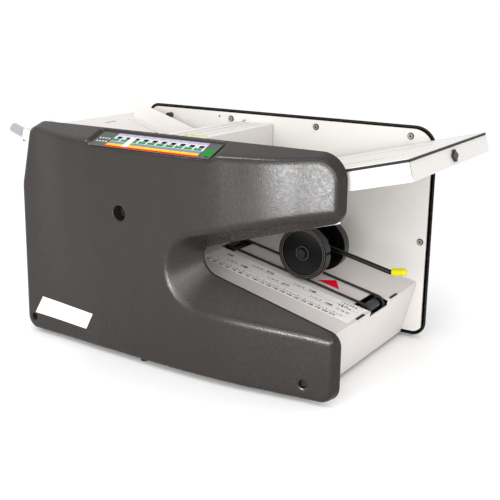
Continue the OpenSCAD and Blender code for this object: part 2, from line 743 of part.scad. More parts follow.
// A drum with end flanges that keep the two belts on
drum_y = [-13, 35.5];
module drum(bore) difference() {
    union() {
        translate([0, drum_y[0], 0]) rotate([-90, 0, 0]) cylinder(h = drum_y[1] - drum_y[0], r = drum_r);
        for (y = [drum_y[0], drum_y[1] - 1.5]) translate([0, y, 0]) rotate([-90, 0, 0]) cylinder(h = 1.5, r = drum_r + 0.9);
    }
    translate([0, drum_y[0] - 1, 0]) rotate([-90, 0, 0]) cylinder(h = 60, r = bore);
}
module conveyor_roller() place() color("black") {
    translate([drive_drum[0], 0, drive_drum[1]]) drum(3.5);
    bar(drive_drum, -27, 148, 4);
    pulley(drive_drum, aux_y, small_pulley_r, 3.5);
}
module conveyor_idler() place() color("black") to_deck() translate([drum_x[1], 0, drum_low]) drum(3 + run_gap);

belt_ring = belt_lift - drum_low;
module half_ring(x, turn) translate([x, 0, drum_low]) rotate([90, 0, 0]) rotate(turn)
    rotate_extrude(angle = 180) translate([belt_ring, 0]) circle(belt_r, $fn = 24);
module conveyor_belts() place() color("black") to_deck() for (y = belt_y) translate([0, y, 0]) {
    half_ring(drum_x[0], 90);
    half_ring(drum_x[1], -90);
    for (z = [-1, 1]) translate([drum_x[0], 0, drum_low + z * belt_ring]) rotate([0, 90, 0])
        cylinder(h = drum_x[1] - drum_x[0], r = belt_r, $fn = 24);
}

// ---- stacker -------------------------------------------------------------

module stacker_pivot_bar() place() color("silver") bar(pivot, -frame_out, frame_out, pivot_r);
module stacker_rod() place() color("black") to_rod() translate([0, rod_y, 0]) difference() {
    union() {
        translate([0, -8, 0]) rotate([-90, 0, 0]) cylinder(h = 16, r = 8);
        rotate([0, 90, 0]) cylinder(h = rod_len, r = rod_r);
        translate([rod_len, 0, 0]) {
            sphere(rod_r);
            rotate([0, 90 - deck_slope - 9, 0]) cylinder(h = 12, r = rod_r);
        }
    }
    translate([0, -9, 0]) rotate([-90, 0, 0]) cylinder(h = 18, r = pivot_r + run_gap);
}
module stacker_tip() place() color("yellow") to_rod() translate([rod_len, rod_y, 0])
    rotate([0, 90 - deck_slope - 9, 0]) difference() {
        union() {
            translate([0, 0, 4]) cylinder(h = 14, r = 4.5);
            translate([0, 0, 18]) scale(4.5) sphere(1);
        }
        translate([0, 0, 3]) cylinder(h = 9, r = rod_r);
    }
module stacker_carriage() place() color("black") to_rod() difference() {
    union() {
        box([axle_at[0] - 13, rod_y - 9, -14.5], [axle_at[0] + 13, rod_y + 9, 6.5]);
        translate([axle_at[0], -7, axle_at[1]]) rotate([-90, 0, 0]) cylinder(h = 36, r = 6);
        translate([axle_at[0] - 6, rod_y, 6]) cylinder(h = 9, r = 5, $fn = 12);
    }
    translate([axle_at[0] - 14, rod_y, 0]) rotate([0, 90, 0]) cylinder(h = 28, r = rod_r + run_gap);
    translate([axle_at[0], -8, axle_at[1]]) rotate([-90, 0, 0]) cylinder(h = 40, r = rod_r + run_gap);
}
module stacker_axle() place() color("dimgray") to_rod() translate([axle_at[0], 0, axle_at[1]]) rotate([-90, 0, 0]) {
    translate([0, 0, wheel_y[0] - 3]) cylinder(h = 3, r = 6, $fn = 6);
    translate([0, 0, wheel_y[0]]) cylinder(h = wheel_y[1] + wheel_w - wheel_y[0], r = rod_r);
    translate([0, 0, wheel_y[1] + wheel_w]) cylinder(h = 3, r = 6, $fn = 6);
}
// A dished wheel: rim and hub full width, web thinner
module wheel() rotate([-90, 0, 0]) rotate_extrude($fn = 96) difference() {
    translate([rod_r, 0]) square([wheel_r - rod_r, wheel_w]);
    for (z = [-1, wheel_w - 2]) translate([9, z]) square([wheel_r - 13, 3]);
}
module stacker_wheels() place() color("black") to_rod()
    for (y = wheel_y) translate([axle_at[0], y, axle_at[1]]) wheel();

// ---- labels --------------------------------------------------------------

module setting_label() place() color("gray") on_chart()
    box([chart_x[0], chart_y[0], -chart_t], [chart_x[1], chart_y[1], 0]);
badge_size = [92, 24.5];
badge_lean = 8;
module badge() place() color("white") translate([-159, -half_w - 29, 36.5]) rotate([0, 2.5, -3.7]) rotate([90, 0, 0])
    linear_extrude(1) polygon([for (c = [[-1, -1], [1, -1], [1, 1], [-1, 1]])
        [c[0] * badge_size[0] / 2 + c[1] * badge_lean, c[1] * badge_size[1] / 2]]);

near_frame();
far_frame();
near_cover();
far_cover();
base_plate();
feet();
tie_rods();
frame_screws();
cover_screws();
end_panel();
power_inlet();
switch_housing();
power_rocker();
motor();
motor_mount();
motor_pulley();
bushes();
drive_belts();
feed_table();
retard_pad();
table_stop_pin();
near_guide();
far_guide();
skew_knob();
feed_shaft();
feed_roller();
hood_bar();
hood_hinge_rod();
hood();
plate_1_tray();
plate_1_lid();
plate_1_seal();
plate_1_stop();
plate_1_knob();
plate_2_tray();
plate_2_lid();
plate_2_stop();
fold_roller_1();
fold_roller_2();
fold_roller_3();
fold_roller_4();
fold_drive_1();
fold_drive_2();
fold_drive_3();
fold_drive_4();
deck();
ruler_strip();
delivery_pointer();
conveyor_bracket();
conveyor_roller();
conveyor_idler();
conveyor_belts();
stacker_pivot_bar();
stacker_rod();
stacker_tip();
stacker_carriage();
stacker_axle();
stacker_wheels();
setting_label();
badge();
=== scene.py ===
"""Looks for the desktop paper folding machine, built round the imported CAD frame."""

import json
import math

import bpy
import numpy as np
from mathutils import Matrix, Vector
from mathutils.geometry import delaunay_2d_cdt


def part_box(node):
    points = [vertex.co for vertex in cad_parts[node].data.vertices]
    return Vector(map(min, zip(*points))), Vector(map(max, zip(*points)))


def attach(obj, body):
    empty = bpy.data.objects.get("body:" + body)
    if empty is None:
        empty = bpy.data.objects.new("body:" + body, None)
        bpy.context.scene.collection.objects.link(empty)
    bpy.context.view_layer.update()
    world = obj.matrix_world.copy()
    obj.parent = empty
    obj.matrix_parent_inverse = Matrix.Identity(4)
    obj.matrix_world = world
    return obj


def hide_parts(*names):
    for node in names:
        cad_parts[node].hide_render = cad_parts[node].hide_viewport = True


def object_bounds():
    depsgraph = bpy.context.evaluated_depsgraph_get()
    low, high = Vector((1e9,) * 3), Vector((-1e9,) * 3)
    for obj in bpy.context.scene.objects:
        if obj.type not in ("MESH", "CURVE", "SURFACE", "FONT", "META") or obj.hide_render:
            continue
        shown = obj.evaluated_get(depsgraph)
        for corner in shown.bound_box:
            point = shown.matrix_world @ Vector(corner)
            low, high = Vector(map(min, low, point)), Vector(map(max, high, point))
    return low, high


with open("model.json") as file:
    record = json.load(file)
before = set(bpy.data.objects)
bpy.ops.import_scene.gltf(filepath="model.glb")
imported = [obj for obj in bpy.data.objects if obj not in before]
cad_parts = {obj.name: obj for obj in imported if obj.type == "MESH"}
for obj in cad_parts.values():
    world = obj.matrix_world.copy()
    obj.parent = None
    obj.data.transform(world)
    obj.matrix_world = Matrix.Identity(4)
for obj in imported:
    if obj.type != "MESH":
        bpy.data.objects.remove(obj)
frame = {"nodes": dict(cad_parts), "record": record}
cad_low, cad_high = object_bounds()
nodes = frame["nodes"]
MM = 0.001


# ---- materials --------------------------------------------------------------

FACTOR, COLOUR_A, COLOUR_B, MIXED = 0, 6, 7, 2  # the mix node's sockets for colours
GRAIN_RELIEF = 0.0002
GLOSS_FINENESS = 6
SMOOTHEST = 0.02


def linear(r, g, b):
    """An 8-bit screen colour as Blender's linear colour."""
    c = [x / 255 for x in (r, g, b)]
    return [x / 12.92 if x <= 0.04045 else ((x + 0.055) / 1.055) ** 2.4 for x in c] + [1.0]


def mix_colours(nt, factor, a, b):
    """A colour between a and b, by a texture's factor."""
    mix = nt.nodes.new("ShaderNodeMix")
    mix.data_type = "RGBA"
    nt.links.new(factor, mix.inputs[FACTOR])
    mix.inputs[COLOUR_A].default_value = a
    mix.inputs[COLOUR_B].default_value = b
    return mix.outputs[MIXED]


def ramp(nt, factor, stops):
    """A texture's factor read as values between (place, value) stops."""
    r = nt.nodes.new("ShaderNodeValToRGB")
    while len(r.color_ramp.elements) < len(stops):
        r.color_ramp.elements.new(0.5)
    for e, (at, v) in zip(r.color_ramp.elements, stops):
        e.position = at
        e.color = (v, v, v, 1)
    nt.links.new(factor, r.inputs[0])
    return r.outputs[0]


def noise(nt, scale, detail=2.0, stretch=(1, 1, 1)):
    """Noise over the object's own metres, stretched along an axis where asked."""
    place = nt.nodes.new("ShaderNodeTexCoord")
    mapping = nt.nodes.new("ShaderNodeMapping")
    mapping.inputs["Scale"].default_value = stretch
    tex = nt.nodes.new("ShaderNodeTexNoise")
    tex.inputs["Scale"].default_value = scale
    tex.inputs["Detail"].default_value = detail
    nt.links.new(place.outputs["Object"], mapping.inputs[0])
    nt.links.new(mapping.outputs[0], tex.inputs["Vector"])
    return tex.outputs[0]


def material(
    name,
    colour,
    rough,
    metal=0.0,
    specular=0.5,
    shade=0.06,
    patch=40.0,
    stretch=(1, 1, 1),
    grain=0.0,
    grain_scale=2500.0,
    rough_spread=0.06,
):
    """A painted, moulded or metal surface: colour patches, uneven gloss and a fine grain."""
    m = bpy.data.materials.new(name)
    m.use_nodes = True
    nt = m.node_tree
    shader = nt.nodes["Principled BSDF"]
    shader.inputs["Metallic"].default_value = metal
    shader.inputs["Specular IOR Level"].default_value = specular
    base = linear(*colour)
    dark = [x * (1 - shade) for x in base[:3]] + [1]
    light = [min(1, x * (1 + shade)) for x in base[:3]] + [1]
    clouds = ramp(nt, noise(nt, patch, 4, stretch), [(0.3, 0), (0.7, 1)])
    nt.links.new(mix_colours(nt, clouds, dark, light), shader.inputs["Base Color"])
    glossy, dull = max(SMOOTHEST, rough - rough_spread), min(1, rough + rough_spread)
    gloss = ramp(nt, noise(nt, patch * GLOSS_FINENESS, 3, stretch), [(0.25, glossy), (0.75, dull)])
    nt.links.new(gloss, shader.inputs["Roughness"])
    if grain:
        bump = nt.nodes.new("ShaderNodeBump")
        bump.inputs["Strength"].default_value = grain
        bump.inputs["Distance"].default_value = GRAIN_RELIEF
        nt.links.new(noise(nt, grain_scale, 2, stretch), bump.inputs["Height"])
        nt.links.new(bump.outputs[0], shader.inputs["Normal"])
    return m


MATERIALS = {
    "charcoal_plastic": dict(colour=(31, 28, 26), rough=0.28, shade=0.05, grain=0.9,
                             grain_scale=620, rough_spread=0.05, specular=0.3),
    "white_steel": dict(colour=(216, 213, 209), rough=0.42, shade=0.02, patch=8, grain=0.12,
                        grain_scale=3000),
    "grey_steel": dict(colour=(216, 211, 208), rough=0.5, shade=0.03, patch=12, grain=0.25,
                       grain_scale=2500),
    "zinc": dict(colour=(190, 190, 188), rough=0.32, metal=1.0, shade=0.08, patch=60),
    "dark_steel": dict(colour=(60, 60, 62), rough=0.35, metal=0.9, shade=0.1, patch=80),
    "black_plastic": dict(colour=(27, 26, 27), rough=0.45, grain=0.4, grain_scale=3000),
    "black_gloss": dict(colour=(7, 6, 6), rough=0.22, specular=0.32, shade=0.02, patch=10,
                        rough_spread=0.02),
    "black_rubber": dict(colour=(22, 22, 22), rough=0.7, grain=0.4, grain_scale=3500),
    "grey_rubber": dict(colour=(120, 118, 114), rough=0.8, grain=0.6, grain_scale=3000),
    "tan_plastic": dict(colour=(206, 190, 150), rough=0.5, grain=0.2),
    "bronze": dict(colour=(150, 110, 62), rough=0.38, metal=1.0),
    "aluminium_knob": dict(colour=(196, 196, 200), rough=0.28, metal=1.0, shade=0.05,
                           patch=90, stretch=(1, 8, 1)),
    "motor_paint": dict(colour=(50, 54, 60), rough=0.45, grain=0.5, grain_scale=1500),
    "cork_pad": dict(colour=(150, 112, 76), rough=0.9, shade=0.25, patch=500, grain=0.8),
    "white_label": dict(colour=(242, 239, 238), rough=0.35, shade=0.01),
    "grey_label": dict(colour=(82, 86, 82), rough=0.6, shade=0.02, specular=0.2),
    "red_label": dict(colour=(232, 0, 50), rough=0.55, shade=0.03, specular=0.1),
    "yellow_vinyl": dict(colour=(204, 196, 0), rough=0.45, specular=0.25, shade=0.03, grain=0.1),
}
PRINTS = {
    "print_white": (208, 207, 211), "print_lilac": (172, 168, 190),
    "print_steel": (118, 128, 142), "print_green": (26, 126, 62),
    "print_bright_green": (0, 130, 34), "print_yellow": (226, 188, 0),
    "print_red": (206, 0, 0), "print_grey": (120, 120, 122),
}
finish = {name: material(name, **facts) for name, facts in MATERIALS.items()}
for name, colour in PRINTS.items():
    finish[name] = material(name, colour, 0.6, shade=0.02, specular=0.15)
finish["ink"] = material("ink", (14, 14, 15), 0.6, specular=0.1)
# Painted highlight: a grey finish for the rings on the wheels' faces, which stand in for light
# caught by their bevels.
finish["wheel_highlight_paint"] = material("wheel_highlight_paint", (96, 94, 92), 0.3, specular=0.8)

for part in frame["record"]["subparts"]:
    o = nodes[part["node"]]
    o.data.materials.clear()
    o.data.materials.append(finish[part["material_slot"]])


# ---- side covers ------------------------------------------------------------
# Lengths in this section are in millimetres. A cover's points run from the middle of its
# length and up from its foot.

SAME_POINT = 0.05
HULL_SIDES = 90


def arc(centre, radius, start, end, step=2.0):
    """Points of a circle's arc from one direction to another, in radians."""
    n = max(2, int(abs(end - start) * radius / step) + 1)
    return [centre + radius * np.array((math.cos(t), math.sin(t)))
            for t in np.linspace(start, end, n)]


def rounded(corners, step=2.0):
    """A closed path of (x, z, radius) corners, each rounded, with points every step."""
    pts = [np.array(c[:2], float) for c in corners]
    out = []
    for i, (here, (_, _, radius)) in enumerate(zip(pts, corners)):
        back, on = pts[i - 1] - here, pts[(i + 1) % len(pts)] - here
        back, on = back / np.linalg.norm(back), on / np.linalg.norm(on)
        half = math.acos(max(-1, min(1, float(back @ on)))) / 2
        reach = radius / math.tan(half)
        middle = here + (back + on) / np.linalg.norm(back + on) * radius / math.sin(half)
        a, b = here + back * reach - middle, here + on * reach - middle
        start = math.atan2(a[1], a[0])
        turn = (math.atan2(b[1], b[0]) - start + math.pi) % (2 * math.pi) - math.pi
        out += arc(middle, radius, start, start + turn, min(step, radius / 5))
    return resample(out, step)


def resample(path, step):
    """A closed path's points, with long straight runs divided."""
    out = []
    for a, b in zip(path, path[1:] + path[:1]):
        n = max(1, int(np.linalg.norm(b - a) / step))
        out += [a + (b - a) * i / n for i in range(n)]
    return np.array([p for i, p in enumerate(out)
                     if np.linalg.norm(p - out[i - 1]) > SAME_POINT])


def hull(circles, step=1.5):
    """The closed path round a set of (x, z, radius) circles."""
    turns = np.linspace(0, 2 * math.pi, HULL_SIDES, endpoint=False)
    p = np.array(sorted((x + r * math.cos(t), z + r * math.sin(t))
                        for x, z, r in circles for t in turns))

    def chain(points):
        kept = []
        for q in points:
            while len(kept) > 1 and np.cross(kept[-1] - kept[-2], q - kept[-1]) <= 1e-9:
                kept.pop()
            kept.append(q)
        return kept[:-1]

    return resample(chain(p) + chain(p[::-1]), step)


def distance(points, path):
    """Distance of each point from a closed path, positive inside it, and the outward
    normal of the path where it is nearest."""
    a, b = path, np.roll(path, -1, 0)
    side = b - a
    length2 = (side**2).sum(1)
    best = np.full(len(points), 1e9)
    near = np.zeros((len(points), 2))
    inside = np.zeros(len(points), bool)
    for i in range(len(a)):
        rel = points - a[i]
        t = np.clip(rel @ side[i] / length2[i], 0, 1)
        gap = rel - t[:, None] * side[i]
        d = (gap**2).sum(1)
        closer = d < best
        best[closer] = d[closer]
        normal = np.array((side[i][1], -side[i][0])) / math.sqrt(length2[i])
        near[closer] = normal
        crosses = (a[i][1] > points[:, 1]) != (b[i][1] > points[:, 1])
        if abs(side[i][1]) > 1e-12:
            at = a[i][0] + (points[:, 1] - a[i][1]) / side[i][1] * side[i][0]
            inside ^= crosses & (points[:, 0] < at)
    return np.sqrt(best) * np.where(inside, 1, -1), near


def shoulder(t, lean, top, radius):
    """Height of a wall that leans in by lean per unit of height, t in from its foot,
    where it rounds over into a face at height top."""
    slope = np.sqrt(1 + lean**2)
    centre = lean * (top - radius) + radius * slope
    start = centre - radius / slope
    bend = top - radius + np.sqrt(np.maximum(radius**2 - (t - centre) ** 2, 0))
    return np.where(t >= centre, top, np.where(t <= start, t / np.maximum(lean, 1e-6), bend))


def soft_min(a, b, k):
    """The smaller of two heights, blended where they differ by less than k."""
    h = np.maximum(k - abs(a - b), 0) / k
    return np.minimum(a, b) - h * h * k / 4


def bowl(points, centre, radius, depth, lip):
    """How far a round recess sinks a surface, with a soft lip."""
    r = np.linalg.norm(points - np.array(centre), axis=1)
    s = np.clip((radius + lip - r) / lip, 0, 1)
    return depth * s * s * (3 - 2 * s)


# The crowned face: its depth at stations along the top and along the foot.
TOP_DEPTH = [(-234, 14), (-204, 17), (-189, 20.5), (-162, 27), (-146, 29.8), (-125, 31.5),
             (-98, 34), (-40, 34.8), (20, 35), (60, 34.8), (85, 34), (108, 31.5), (131, 30),
             (153, 28), (177, 24), (194, 19.5), (210, 16), (234, 12)]
FOOT_DEPTH = [(-234, 20), (-170, 21), (-130, 23.5), (-98, 26), (-48, 28.3), (0, 30), (50, 30.5),
              (103, 28.5), (128, 25), (153, 21.5), (177, 18), (199, 14.5), (234, 12)]
CROWN_BLUR = np.linspace(-10, 10, 7)
SKIN = 1.8

# The mesh: how far in from the rim each ring of points lies, the pitch of the grid inside
# them, how far outside a well's radius its circles of points lie, and the least room that
# the grid keeps from a well, a well's circles from the rim, and a ring from the circles.
OUTER_RINGS = (0, 0.3, 0.6, 1, 1.5, 2.1, 2.8, 3.7, 4.8, 6.2, 7.8, 9.6)
INNER_RINGS = (0, 1, 2.2, 4, 7)
OUTER_PITCH, INNER_PITCH = 3.0, 7.0
ROW_SHARE = 0.866
WELL_RINGS = (-0.1, 0.3, 0.6, 0.9, 1.8, 2.8, 4.2)
WELL_SIDES = 28
GRID_ROOM, RIM_ROOM, RING_ROOM = 6, 1, 0.8

# The notch: the inner ends of its lower and upper edges, how far forward it is drawn, and
# the edges' slopes. The face dips towards it inside the outline round the DIP circles, over
# a width kept between two limits, down to DIP_FOOT at the notch's edge.
NOTCH_LOW, NOTCH_HIGH, NOTCH_FAR = (47.5, 126.6), (51, 154.1), 300
LOW_SLOPE, HIGH_SLOPE = -0.2446, 0.3
DIP = [(66, 151.5, 27), (60, 127.5, 49), (262, 222, 10), (262, 83.5, 10)]
DIP_WIDTHS = (5, 200)
DIP_FOOT, DIP_BLEND = 2.3, 5

# How far the walls lean in per unit of height, at the back, front, foot and top of the
# block, and round the whole rim.
BACK_LEAN, FRONT_LEAN, FOOT_LEAN, TOP_LEAN, RIM_LEAN = 0.1, 0.5, 0.07, 0.42, 0.12
BLOCK_ROUND, DISH_ROUND, RIM_ROUND = 6.5, 10, 2.5

# The chart's recess: its ends and the run-out at each. Its floor starts CHART_DROP below
# the top, falls CHART_SLOPE per unit outwards, and is lifted by CHART_RISE over a run-out.
CHART = (-99, 82)
CHART_RUNS = (10, 16)
CHART_DROP, CHART_RISE, CHART_SLOPE, CHART_LEAST = 4.3, 16, 0.404, 2.4
CHART_BLEND = 2

# Round recesses, each with its centre, radius and depth.
HOLE_WELL = ((-53, 186), 8.8, 13)
SCREW_WELLS = [((194.5, 19.5), 4.2, 7.5), ((-219, 17.5), 4.2, 7.5)]
WELL_LIP, WELL_DISH, WELL_DISH_LIP = 0.8, 0.7, 3.2


def crown(p, tall):
    """The face's depth without its corners."""

    def along(table):
        t = np.array(table)
        return np.mean([np.interp(p[:, 0] + s, t[:, 0], t[:, 1]) for s in CROWN_BLUR], axis=0)

    up = np.clip(p[:, 1] / tall, 0, 1)
    return along(FOOT_DEPTH) * (1 - up) + along(TOP_DEPTH) * up


class Cover:
    """One side cover's shape: a depth over every point of its outline."""

    def __init__(self, half, tall, notched):
        self.half, self.tall, self.notched = half, tall, notched
        back_lean = 20 if notched else 3
        corners = [(-half, 0, 18), (half, 0, 20), (half, tall, 30), (back_lean - half, tall, 20),
                   (-half, tall - 82, 60)]
        self.block = self.rim = rounded(corners)
        if notched:
            low, high, far = (*NOTCH_LOW, 24), (*NOTCH_HIGH, 12), NOTCH_FAR

            def lower(x):
                return low[1] + (x - low[0]) * LOW_SLOPE

            def upper(x):
                return high[1] + (x - high[0]) * HIGH_SLOPE

            self.rim = rounded([corners[0], corners[1], (half, lower(half), 17), low, high,
                                (half, upper(half), 20), *corners[2:]])
            self.gap = rounded([(far, lower(far), 1), (far, upper(far), 1), high, low])
            self.dip = hull(DIP)

    def depth(self, p, skin=0.0):
        """How far the surface stands out at points p, skin mm in from the outside."""
        top = crown(p, self.tall)
        t, n = distance(p, self.block)
        lean = np.where(n[:, 0] < 0, BACK_LEAN, FRONT_LEAN) * n[:, 0] ** 2
        lean = lean + np.where(n[:, 1] < 0, FOOT_LEAN, TOP_LEAN) * n[:, 1] ** 2
        out = shoulder(t - skin, lean, top, BLOCK_ROUND)
        t_rim = t
        if self.notched:
            edge = -distance(p, self.gap)[0]
            wide = np.clip(edge + distance(p, self.dip)[0], *DIP_WIDTHS) / top
            dish = shoulder(edge - skin + DIP_FOOT * wide, wide, top, DISH_ROUND)
            out = soft_min(out, dish, DIP_BLEND)
            t_rim = distance(p, self.rim)[0]
            out = soft_min(out, self.chart_bed(p), CHART_BLEND)
        out = np.minimum(out, shoulder(t_rim - skin, RIM_LEAN, top, RIM_ROUND))
        out = out - skin
        for centre, radius, sink in self.wells():
            out = out - bowl(p, centre, radius + skin, sink, WELL_LIP)
            out = out - bowl(p, centre, radius + skin, WELL_DISH, WELL_DISH_LIP)
        return np.maximum(out, 0)

    def wells(self):
        """This cover's round recesses."""
        return [HOLE_WELL] * self.notched + SCREW_WELLS

    def chart_bed(self, p):
        """The floor of the chart's recess, which runs out through the face."""
        left = np.clip((CHART[0] - p[:, 0]) / CHART_RUNS[0], 0, 1)
        right = np.clip((p[:, 0] - CHART[1]) / CHART_RUNS[1], 0, 1)
        level = self.tall - CHART_DROP + CHART_RISE * np.maximum(left, right)
        return np.maximum((level - p[:, 1]) / CHART_SLOPE, CHART_LEAST)

    def rings(self, steps):
        """The rim's path moved inwards by each step."""
        along = np.roll(self.rim, -1, 0) - np.roll(self.rim, 1, 0)
        along /= np.linalg.norm(along, axis=1)[:, None]
        inward = np.stack([-along[:, 1], along[:, 0]], 1)
        return [self.rim + inward * s for s in steps]

    def sheet(self, start, steps, pitch, skin):
        """Points, depths and triangles of the surface inside the rim moved in by start."""
        rings = self.rings([start + s for s in steps])
        cols = np.arange(-self.half, self.half, pitch)
        rows = np.arange(0, self.tall, pitch * ROW_SHARE)
        grid = np.array([(x + (pitch / 2 if i % 2 else 0), z)
                         for i, z in enumerate(rows) for x in cols])
        keep = distance(grid, self.rim)[0] > start + steps[-1] + pitch * 0.5
        circles = []
        for centre, radius, _ in self.wells():
            radius += skin
            keep &= np.linalg.norm(grid - np.array(centre), axis=1) > radius + GRID_ROOM
            for r in (0.01, radius * 0.5, *(radius + more for more in WELL_RINGS)):
                n = max(1, int(WELL_SIDES * min(1, r / radius)))
                turn = 2 * math.pi * np.arange(n) / n
                circles.append(np.array(centre) + r * np.stack([np.cos(turn), np.sin(turn)], 1))
        circles = np.concatenate(circles)
        circles = circles[distance(circles, self.rim)[0] > start + RIM_ROOM]
        clear = [np.linalg.norm(r[:, None] - circles[None], axis=2).min(1) > RING_ROOM
                 for r in rings[1:]]
        rings = [rings[0]] + [r[free] for r, free in zip(rings[1:], clear)]
        points = np.concatenate([*rings, grid[keep], circles])
        n = len(rings[0])
        flat, _, faces, *_ = delaunay_2d_cdt(
            [Vector(q) for q in points], [], [list(range(n))], 1, 1e-6)
        flat = np.array([tuple(v) for v in flat])
        return flat, self.depth(flat, skin), [list(f) for f in faces]


def cover_piece(node, outward):
    """A moulded cover with a crowned face, in the CAD cover's box: the piece, its shape and
    its origin. outward is the sign of Y that the face looks to."""
    low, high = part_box(node)
    half = (high.x - low.x) / 2 / MM
    tall = (high.z - low.z) / MM
    wall = (low.y if outward > 0 else high.y) / MM
    shape = Cover(half, tall, outward < 0)
    out, out_y, out_f = shape.sheet(0, OUTER_RINGS, OUTER_PITCH, 0.0)
    ins, ins_y, ins_f = shape.sheet(SKIN, INNER_RINGS, INNER_PITCH, SKIN)
    n = len(shape.rim)
    out_y[:n] = 0
    ins_y[:n] = 0
    middle = (high.x + low.x) / 2
    verts = [(middle + x * MM, (wall + outward * y) * MM, low.z + z * MM)
             for pts, ys in ((out, out_y), (ins, ins_y)) for (x, z), y in zip(pts, ys)]
    m = len(out)
    faces = [f if outward < 0 else f[::-1] for f in out_f]
    faces += [[m + i for i in (f[::-1] if outward < 0 else f)] for f in ins_f]
    for i in range(n):
        j = (i + 1) % n
        quad = [j, i, m + i, m + j]
        faces.append(quad if outward < 0 else quad[::-1])
    mesh = bpy.data.meshes.new(node)
    mesh.from_pydata(verts, [], faces)
    mesh.validate()
    mesh.update()
    mesh.shade_smooth()
    mesh.set_sharp_from_angle(angle=math.radians(50))
    piece = bpy.data.objects.new(node + "_moulding", mesh)
    bpy.context.scene.collection.objects.link(piece)
    mesh.materials.append(finish["charcoal_plastic"])
    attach(piece, "chassis")
    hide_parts(node)
    return piece, shape, Vector((middle, wall * MM, low.z))


near_cover, near_shape, near_origin = cover_piece("near_cover", -1)
cover_piece("far_cover", 1)


# ---- print, lines, small fittings, painted shade and highlights -------------


class Solids:
    """A piece gathered from closed solids, each face with a finish of its own."""

    def __init__(self, *looks):
        self.verts, self.faces, self.looks, self.used = [], [], looks, []

    def prism(self, corners, up, look=0):
        """A polygon's corners, anticlockwise seen from up, raised by up."""
        n, s, up = len(corners), len(self.verts), Vector(up)
        self.verts += [Vector(c) for c in corners] + [Vector(c) + up for c in corners]
        self.faces += [list(range(s + n, s + 2 * n)), list(range(s + n - 1, s - 1, -1))]
        self.faces += [[s + i, s + (i + 1) % n, s + n + (i + 1) % n, s + n + i] for i in range(n)]
        self.used += [look] * (n + 2)

    def turned(self, centre, axis, profile, look=0, sides=56):
        """A closed (radius, height) profile turned about an axis through centre."""
        axis = Vector(axis).normalized()
        a = axis.orthogonal().normalized()
        b = axis.cross(a)
        s, n = len(self.verts), len(profile)
        for i in range(sides):
            t = 2 * math.pi * i / sides
            out = a * math.cos(t) + b * math.sin(t)
            self.verts += [Vector(centre) + out * r + axis * h for r, h in profile]
        for i in range(sides):
            j = (i + 1) % sides
            for k in range(n):
                m = (k + 1) % n
                self.faces.append([s + i * n + k, s + j * n + k, s + j * n + m, s + i * n + m])
        self.used += [look] * (sides * n)

    def rod(self, path, radius, look=0, sides=8):
        """A round bead along a line of points."""
        s, n = len(self.verts), len(path)
        for i, q in enumerate(path):
            q = Vector(q)
            ahead = (Vector(path[min(i + 1, n - 1)]) - Vector(path[max(i - 1, 0)])).normalized()
            a = ahead.orthogonal().normalized()
            b = ahead.cross(a)
            self.verts += [q + radius * (a * math.cos(t) + b * math.sin(t))
                           for t in (2 * math.pi * k / sides for k in range(sides))]
        for i in range(n - 1):
            for k in range(sides):
                m = (k + 1) % sides
                self.faces.append([s + i * sides + k, s + i * sides + m,
                                   s + (i + 1) * sides + m, s + (i + 1) * sides + k])
        self.faces.append([s + k for k in range(sides)][::-1])
        self.faces.append([s + (n - 1) * sides + k for k in range(sides)])
        self.used += [look] * ((n - 1) * sides + 2)

    def words(self, text, corner, right, top, up, height):
        """Figures laid on a face in the first look: a thin solid of each."""
        curve = bpy.data.curves.new("figures", "FONT")
        curve.body = text
        curve.size = 1
        curve.extrude = 0.02
        curve.offset = 0.03
        o = bpy.data.objects.new("figures", curve)
        bpy.context.scene.collection.objects.link(o)
        bpy.context.view_layer.update()
        mesh = bpy.data.meshes.new_from_object(o)
        s = len(self.verts)
        for v in mesh.vertices:
            x, y, z = v.co * height
            self.verts.append(Vector(corner) + right * x + top * y + up * z)
        self.faces += [[s + i for i in q.vertices] for q in mesh.polygons]
        self.used += [0] * len(mesh.polygons)
        bpy.data.objects.remove(o)
        bpy.data.meshes.remove(mesh)
        bpy.data.curves.remove(curve)

    def save(self, name, body, slot, replaces=(), sharp=35):
        """The finished piece, with edges sharper than sharp degrees left crisp."""
        mesh = bpy.data.meshes.new(name)
        mesh.from_pydata(self.verts, [], self.faces)
        for look in self.looks:
            mesh.materials.append(finish[look])
        mesh.polygons.foreach_set("material_index", self.used)
        mesh.validate()
        mesh.update()
        mesh.shade_smooth()
        mesh.set_sharp_from_angle(angle=math.radians(sharp))
        piece = bpy.data.objects.new(name, mesh)
        bpy.context.scene.collection.objects.link(piece)
        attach(piece, body)
        if replaces:
            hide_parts(*replaces)


class Face:
    """A flat node's upper face: place(u, v) with u along +X and v across it, both from 0 to 1."""

    def __init__(self, node):
        mesh = nodes[node].data
        best = max((q for q in mesh.polygons if q.normal.z > 0.3), key=lambda q: q.area)
        self.up = best.normal.copy()
        pts = [v.co for v in mesh.vertices if abs((v.co - best.center).dot(self.up)) < 2e-5]
        self.right = (Vector((1, 0, 0)) - self.up * self.up.x).normalized()
        self.down = self.right.cross(self.up)
        us, vs = [q.dot(self.right) for q in pts], [q.dot(self.down) for q in pts]
        self.wide, self.tall = max(us) - min(us), max(vs) - min(vs)
        level = best.center.dot(self.up)
        self.origin = self.right * min(us) + self.down * min(vs) + self.up * level

    def place(self, u, v, raised=0.0):
        """A point by share of the face's width and height."""
        return (self.origin + self.right * (u * self.wide) + self.down * (v * self.tall)
                + self.up * raised)

    def at(self, x, y, raised=0.0):
        """A point by millimetres from the face's first corner."""
        return self.place(x * MM / self.wide, y * MM / self.tall, raised)

    def patch(self, solids, x0, x1, y0, y1, look=0, proud=0.06, sunk=0.03):
        """A thin rectangle laid into the face: its sides, and how far it stands proud."""
        corners = [self.at(x, y, -sunk * MM) for x, y in ((x0, y1), (x1, y1), (x1, y0), (x0, y0))]
        solids.prism(corners, self.up * (proud + sunk) * MM, look)

    def words(self, solids, text, x, y, height):
        """Figures of a height in millimetres, from a point of the face."""
        solids.words(text, self.at(x, y), self.right, -self.down, self.up, height * MM)


